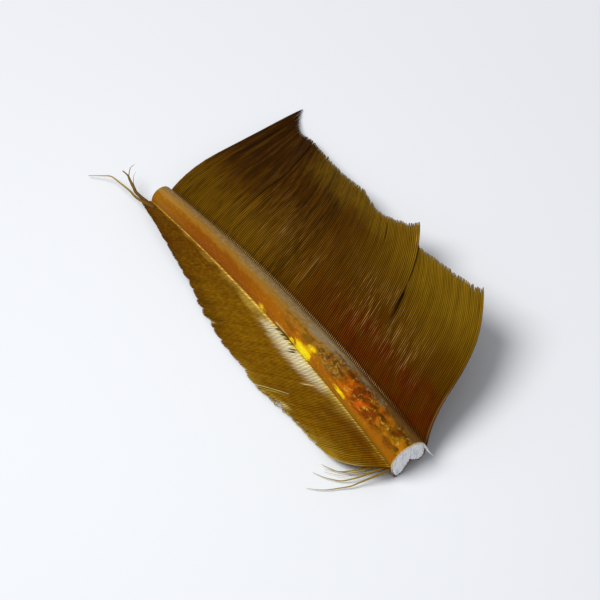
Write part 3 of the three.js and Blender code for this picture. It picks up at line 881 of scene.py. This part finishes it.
# Stray barbs: root radius, tip radius, how pale, and a path of points from the middle of the
# base cut, with heights above the surface.
STRAYS = [
    (0.26, 0.06, 0.1, [
        (-2.2, 64.4, 2.2), (-3.4, 67.7, 2.3), (-3.5, 69.9, 2.3), (-3.7, 72.3, 2.1),
        (-3.9, 74.8, 1.7), (-4.7, 76.2, 1.2), (-6.3, 78.2, 0.5)]),
    (0.36, 0.1, -0.4, [
        (-2.2, 64.4, 2.2), (-2.9, 68.4, 2.4), (-2.7, 70.0, 2.6), (-2.4, 71.6, 2.9),
        (-2.2, 72.4, 3.0), (-2.4, 73.6, 3.2)]),
    (0.14, 0.03, -0.2, [
        (-2.7, 70.0, 2.6), (-2.4, 71.6, 2.9), (-2.0, 72.4, 3.0), (-1.0, 73.4, 3.2),
        (-0.1, 73.6, 3.3)]),
    (0.08, 0.02, 0.0, [
        (-2.7, 69.3, 2.5), (-2.3, 70.6, 2.8), (-1.5, 71.7, 3.0), (-0.8, 72.2, 3.1)]),
    (0.21, 0.03, 0.0, [
        (-2.6, 0.9, 2.9), (-4.0, 1.6, 2.5), (-5.8, 3.2, 1.6), (-6.9, 3.9, 1.1), (-8.1, 4.8, 0.7),
        (-9.0, 5.7, 0.5), (-9.6, 7.0, 0.4), (-10.1, 8.2, 0.35)]),
    (0.16, 0.02, 0.2, [
        (-2.6, 0.9, 2.8), (-4.1, 1.6, 2.4), (-5.5, 2.7, 1.7), (-6.7, 3.4, 1.1), (-7.7, 4.2, 0.7),
        (-8.4, 5.0, 0.5), (-9.3, 6.2, 0.4), (-10.2, 7.3, 0.35)]),
    (0.22, 0.03, 0.0, [
        (-2.6, 0.5, 2.7), (-4.1, 1.1, 2.3), (-5.5, 1.8, 1.7), (-7.0, 2.5, 1.1), (-8.0, 3.0, 0.8),
        (-9.4, 3.8, 0.5), (-10.3, 4.8, 0.4), (-11.2, 6.1, 0.35), (-12.0, 7.8, 0.3)]),
    (0.22, 0.02, 0.1, [
        (-2.6, 0.2, 2.5), (-4.1, 0.5, 2.1), (-5.6, 1.1, 1.5), (-7.5, 1.8, 0.9), (-8.9, 2.2, 0.6),
        (-10.4, 3.0, 0.4), (-12.3, 4.0, 0.35), (-13.6, 5.1, 0.3), (-14.5, 6.1, 0.25)]),
    (0.1, 0.02, 0.4, [
        (-2.6, 0.7, 2.6), (-4.2, 1.3, 2.1), (-6.2, 2.6, 1.3), (-8.6, 4.2, 0.6),
        (-10.6, 6.9, 0.35)]),
]
# A splinter of foam that hangs from the base cut, given in the same way.
SPLINTER = (0.2, 0.05, 1.0, [
    (2.9, 0.1, 3.9), (3.0, -0.4, 3.5), (3.2, -0.7, 2.9), (3.5, -0.9, 2.3), (3.9, -1.0, 1.6)])
# Loose barbs on the narrow vane, given in the same way, but their points are places along and
# out, and lifts off the vane.
LOOSE_BARBS = [
    (0.11, 0.05, 0.4, [
        (0.203, 0.6, 0.05), (0.206, 0.72, 0.2), (0.208, 0.86, 0.3), (0.21, 1.0, 0.25)]),
    (0.12, 0.06, 0.0, [
        (0.196, 0.6, 0.05), (0.199, 0.74, 0.1), (0.202, 0.88, 0.15), (0.204, 1.02, 0.15)]),
    (0.06, 0.03, 0.1, [
        (0.153, 1.03, 0.1), (0.164, 0.95, 0.2), (0.165, 0.89, 0.2), (0.157, 0.9, 0.15),
        (0.15, 0.96, 0.1)]),
    (0.06, 0.03, 0.1, [
        (0.133, 1.04, 0.1), (0.144, 0.96, 0.15), (0.144, 0.92, 0.2), (0.137, 0.94, 0.15),
        (0.127, 1.03, 0.1)]),
    (0.07, 0.03, 0.4, [(0.095, 0.9, 0.1), (0.095, 0.98, 0.1), (0.1, 1.05, 0.1)]),
    (0.07, 0.03, 0.4, [(0.046, 0.86, 0.1), (0.042, 0.95, 0.1), (0.043, 1.06, 0.1)]),
]
# Places along the narrow vane's edge where the tips of barbs have curled.
CURL_PLACES = np.linspace(0.055, 0.2, 13)
CURL_RADII = (0.065, 0.04)
STRAND_SIDES = 6
STRAY_STATIONS = 48
LOOSE_STATIONS = 24
WALK_STATIONS = 24


def edge_curls():
    """Curled tips of barbs at the narrow vane's edge, as rows like those of the loose barbs:
    each is most of an ellipse round a place on the edge."""
    chance = np.random.default_rng(12)
    turn = np.linspace(-2.3, 2.0, 7)
    rows = []
    for place in CURL_PLACES + chance.uniform(-0.004, 0.004, len(CURL_PLACES)):
        wide, far = chance.uniform(0.003, 0.007), chance.uniform(0.03, 0.065)
        side = chance.choice((-1, 1))
        lift = np.full(len(turn), chance.uniform(0.1, 0.25))
        path = np.stack([place + side * wide * np.sin(turn), 0.96 + far * np.cos(turn), lift], -1)
        rows.append((*CURL_RADII, chance.uniform(0, 0.2), path))
    return rows


def smooth_path(points, count):
    """Evenly numbered points on a smooth curve through the given ones."""
    points = np.array(points, float)
    at = np.arange(len(points))
    where = np.linspace(0, len(points) - 1, count)
    columns = [through(np.stack([at, values], -1), where) for values in points.T]
    return np.stack(columns, -1)


def on_narrow_vane(path):
    """Points in space for rows of along, out and lift on the narrow vane."""
    along, out, lift = path.T
    run = out[:, None] * np.linspace(0, 1, WALK_STATIONS)
    x, y, side_height = barb_paths(NARROW, through(NARROW_LENGTH, along), along, run)
    z = narrow_height(along, run, side_height)
    return np.stack([x[:, -1], y[:, -1], np.maximum(z[:, -1] + lift, 0.1)], -1)


def strands(name, paths, rows, finish):
    """Thin closed tubes along paths, each a circle that tapers straight from the first radius
    of its row to the second."""
    stations = paths.shape[1]
    heading = np.gradient(paths, axis=1)
    heading /= np.linalg.norm(heading, axis=-1, keepdims=True)
    beside = np.cross(heading, (0.0, 0.0, 1.0))
    beside /= np.linalg.norm(beside, axis=-1, keepdims=True)
    above = np.cross(beside, heading)
    turn = np.arange(STRAND_SIDES) / STRAND_SIDES * 2 * np.pi
    share = np.linspace(0, 1, stations)
    first, last, pale = np.array([row[:3] for row in rows], float).T[..., None]
    radius = (first + (last - first) * share)[..., None, None]
    ring = (np.cos(turn)[:, None] * beside[:, :, None] + np.sin(turn)[:, None] * above[:, :, None])
    points = (paths[:, :, None] + radius * ring).reshape(-1, 3)
    points[:, 2] = np.maximum(points[:, 2], CLEARANCE)
    shape = (len(paths), stations, STRAND_SIDES)
    readings = {
        "out": np.broadcast_to(share[None, :, None], shape),
        "pale": np.broadcast_to(pale[:, None], shape),
    }
    faces = outward(points, tube_faces(len(paths), stations, STRAND_SIDES))
    mesh_piece(name, points, faces, readings, finish)


def make_strays(foam):
    """Stray barbs at both ends, the splinter of foam, and loose barbs and curls on the narrow
    vane."""
    finish = stray_finish()
    offset = np.array([BASE[0], BASE[1], 0.0])
    paths = np.stack([smooth_path(points, STRAY_STATIONS) for *_, points in STRAYS]) + offset
    strands("stray_barbs", paths, STRAYS, finish)
    splinter = smooth_path(SPLINTER[3], LOOSE_STATIONS)[None] + offset
    strands("splinter", splinter, [SPLINTER], foam)
    rows = LOOSE_BARBS + edge_curls()
    loose = [on_narrow_vane(smooth_path(points, LOOSE_STATIONS)) for *_, points in rows]
    strands("loose_barbs", np.stack(loose), rows, finish)


# ---- camera, floor and light -----------------------------------------------------------

VIEW_AZIMUTH = -36.0
VIEW_ELEVATION = 50.0
VIEW_DISTANCE = 400.0
VIEW_CENTRE = (-2.94, -4.64, 3.0)
LENS = 153.0
SENSOR = 36.0
NEAREST = 0.01


def make_camera():
    azimuth, elevation = np.radians([VIEW_AZIMUTH, VIEW_ELEVATION])
    back = Vector((
        np.sin(azimuth) * np.cos(elevation), -np.cos(azimuth) * np.cos(elevation), np.sin(elevation)))
    camera = bpy.data.objects.new("camera", bpy.data.cameras.new("camera"))
    camera.data.lens = LENS
    camera.data.sensor_width = SENSOR
    camera.data.clip_start = NEAREST
    camera.location = (Vector(VIEW_CENTRE) + back * VIEW_DISTANCE) * MM
    camera.rotation_euler = back.to_track_quat("Z", "Y").to_euler()
    bpy.context.scene.collection.objects.link(camera)
    bpy.context.scene.camera = camera


TABLE_REACH = 2.5


def make_floor():
    """A pale table with a painted pool of light: a little greyer with distance from a place beside
    the feather.
    """
    f = Finish("pale_table", Specular_IOR_Level=0.1)
    x, y, _ = f.parts(f.place())
    # painted pool of light: greyer with distance from a place beside the feather
    away = ((x + 0.036) ** 2 + (y + 0.011) ** 2) ** 0.5
    colour = f.blend(away.over(0, 0.11), tone(248, 250, 252), tone(240, 241, 244))
    material = f.finish(colour, 0.9)
    mesh = bpy.data.meshes.new("table")
    corners = [(-1, -1, 0), (1, -1, 0), (1, 1, 0), (-1, 1, 0)]
    mesh.from_pydata([Vector(corner) * TABLE_REACH for corner in corners], [], [(0, 1, 2, 3)])
    mesh.materials.append(material)
    floor = bpy.data.objects.new("table", mesh)
    bpy.context.scene.collection.objects.link(floor)
    floor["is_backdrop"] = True


LIGHT_FROM = (-0.464, 0.257, 0.848)
LIGHT_DISTANCE = 1.0
LIGHT_SIZE = 0.68
LIGHT_POWER = 7.95
SKY = (0.93, 0.95, 1.0)
SKY_STRENGTH = 0.37


def make_light():
    toward = Vector(LIGHT_FROM).normalized()
    lamp = bpy.data.lights.new("soft_box", "AREA")
    lamp.shape = "DISK"
    lamp.size = LIGHT_SIZE
    lamp.energy = LIGHT_POWER
    holder = bpy.data.objects.new("soft_box", lamp)
    holder.location = toward * LIGHT_DISTANCE
    holder.rotation_euler = toward.to_track_quat("Z", "Y").to_euler()
    bpy.context.scene.collection.objects.link(holder)
    world = bpy.data.worlds.new("studio")
    world.use_nodes = True
    sky = world.node_tree.nodes["Background"]
    sky.inputs["Color"].default_value = (*SKY, 1.0)
    sky.inputs["Strength"].default_value = SKY_STRENGTH
    bpy.context.scene.world = world
    bpy.context.scene.view_settings.view_transform = "Standard"


make_camera()
make_floor()
make_light()
make_shaft()
foam_pith = pith_finish()
make_pith(foam_pith)
make_wide_vane()
make_narrow_vane()
make_strays(foam_pith)

as_lists = lambda box: [list(map(float, corner)) for corner in box]
{"cad": as_lists(cad_box), "visual": as_lists(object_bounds())}
